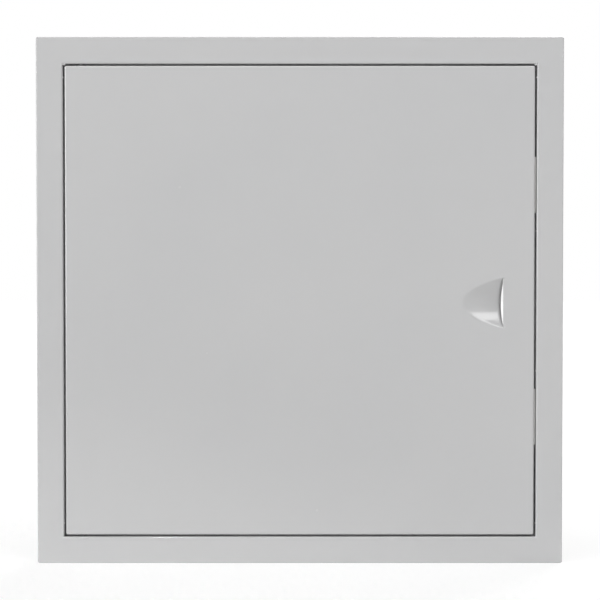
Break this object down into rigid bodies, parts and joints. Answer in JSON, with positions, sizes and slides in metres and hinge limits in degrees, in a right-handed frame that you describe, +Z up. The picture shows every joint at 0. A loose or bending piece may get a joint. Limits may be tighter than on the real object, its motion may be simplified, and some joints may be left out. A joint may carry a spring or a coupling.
{
  "type": "access panel",
  "caption": "Square flush access panel: painted steel frame with a hinged pan door, a pressed finger pull and magnetic catches.",
  "frame": {"origin": "middle of the bottom rail's folded hem, on its back face, which lies on the wall", "axes": "+X to the right seen from the front, +Y into the wall, +Z up; the front faces -Y"},
  "size_m": [0.332, 0.0266, 0.332],
  "materials": {
    "paint": "glossy light grey-white powder coat",
    "pin_steel": "zinc-plated",
    "pole_steel": "zinc-plated, ground face",
    "catch_plastic": "moulded white, fine grain",
    "bush_plastic": "black acetal, satin",
    "ferrite": "sintered, matt"
  },
  "bodies": {
    "frame": {"frame_top_rail": "paint", "frame_bottom_rail": "paint", "frame_hinge_stile": "paint", "frame_latch_stile": "paint", "upper_hinge_pin": "pin_steel", "lower_hinge_pin": "pin_steel", "upper_magnet_housing": "catch_plastic", "upper_magnet_block": "ferrite", "upper_magnet_inner_pole": "pole_steel", "upper_magnet_outer_pole": "pole_steel", "upper_magnet_top_rivet": "pin_steel", "upper_magnet_bottom_rivet": "pin_steel", "lower_magnet_housing": "catch_plastic", "lower_magnet_block": "ferrite", "lower_magnet_inner_pole": "pole_steel", "lower_magnet_outer_pole": "pole_steel", "lower_magnet_top_rivet": "pin_steel", "lower_magnet_bottom_rivet": "pin_steel"},
    "door": {"door_leaf": "paint", "upper_hinge_bush": "bush_plastic", "lower_hinge_bush": "bush_plastic"}
  },
  "joints": [
    {"name": "door_hinge", "type": "hinge", "parent": "frame", "child": "door", "pos_m": [-0.138, 0.0029, 0.162], "axis": [0, 0, -1], "range_deg": [0, 120]}
  ]
}
